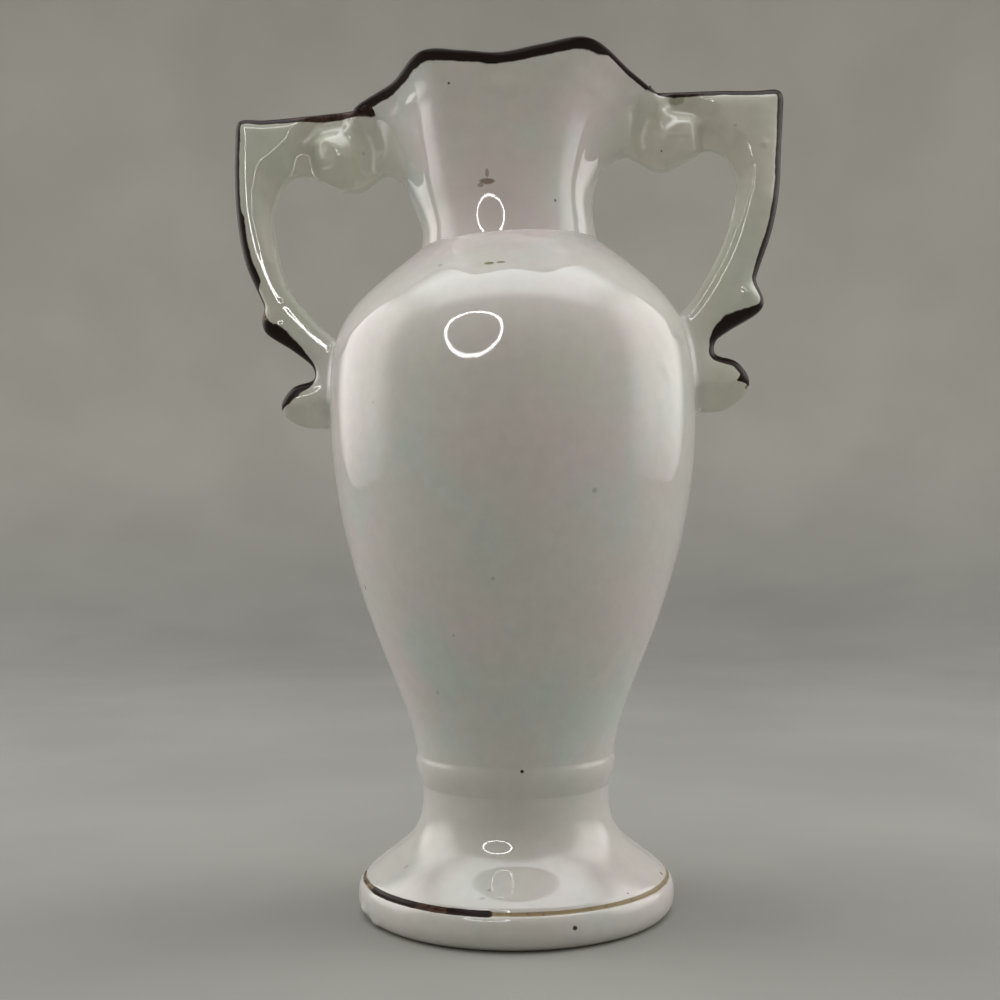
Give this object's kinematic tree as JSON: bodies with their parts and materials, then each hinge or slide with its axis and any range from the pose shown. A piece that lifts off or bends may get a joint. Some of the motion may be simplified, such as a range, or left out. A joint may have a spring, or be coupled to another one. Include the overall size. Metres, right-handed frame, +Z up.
{
  "type": "bud vase",
  "caption": "Small two-handled bud vase in glazed porcelain: baluster body on a spreading foot, lobed flared mouth and scrolled ear handles.",
  "frame": {"origin": "centre of the standing ring, on the surface that the vase stands on", "axes": "+Z up, X through both handles, the bare side that the picture shows faces -Y"},
  "size_m": [0.0859, 0.0568, 0.1305],
  "materials": {
    "white_glaze": "gloss glaze, greyish white with a faint pink and green sheen, thin brown lustre lines",
    "handle_glaze": "gloss glaze, slightly greener white, brown lustre along the outer edge"
  },
  "bodies": {
    "root": {"foot": "white_glaze", "body": "white_glaze", "neck_with_mouth": "white_glaze", "handle_right": "handle_glaze", "handle_left": "handle_glaze"}
  },
  "joints": []
}
